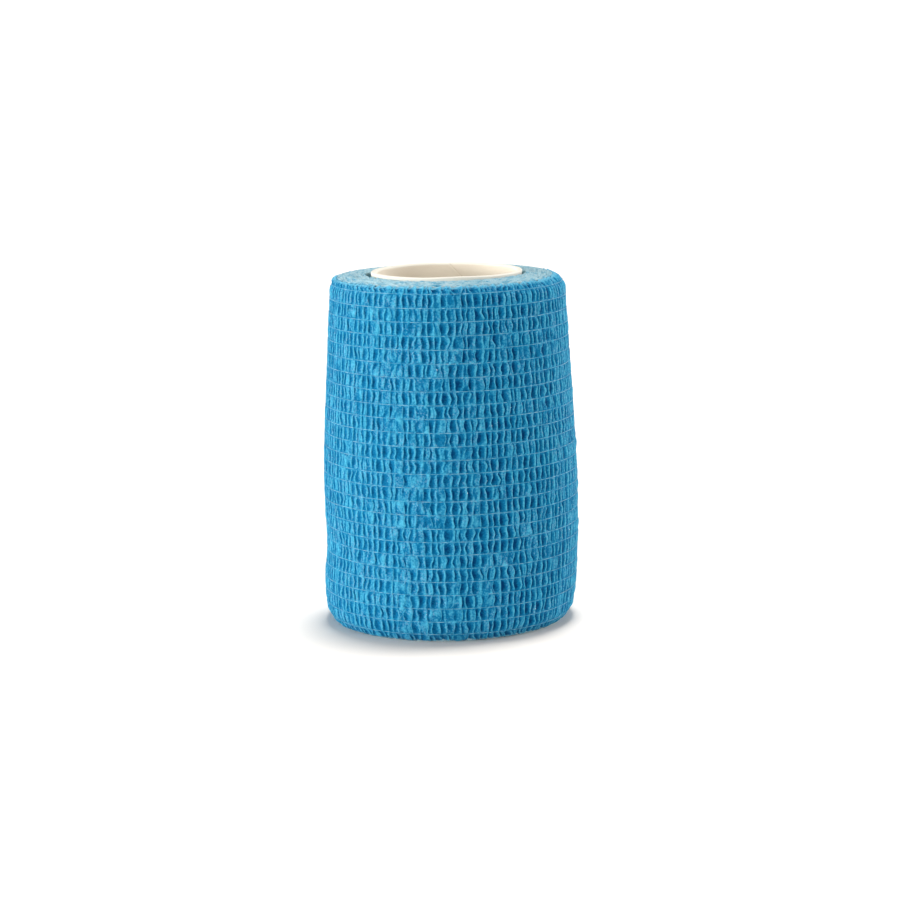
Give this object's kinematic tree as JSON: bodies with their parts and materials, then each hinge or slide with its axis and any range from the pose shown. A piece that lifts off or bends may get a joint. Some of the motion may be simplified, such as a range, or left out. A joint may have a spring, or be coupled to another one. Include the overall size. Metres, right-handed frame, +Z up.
{
  "type": "cohesive bandage roll",
  "caption": "Crinkled elastic cohesive bandage wound on an open paper tube, standing on its end, with its loose end laid flat against the roll.",
  "frame": {"origin": "on the core's axis, at the middle of the flat base", "axes": "+Z up along the roll's axis; the loose end lies at the back, towards +Y"},
  "size_m": [0.0546, 0.0546, 0.075],
  "materials": {
    "bandage": "crinkled nonwoven with fine elastic threads, matte",
    "core": "spiral-wound paperboard, matte"
  },
  "bodies": {
    "root": {"wound_bandage": "bandage", "paper_core": "core"}
  },
  "joints": []
}
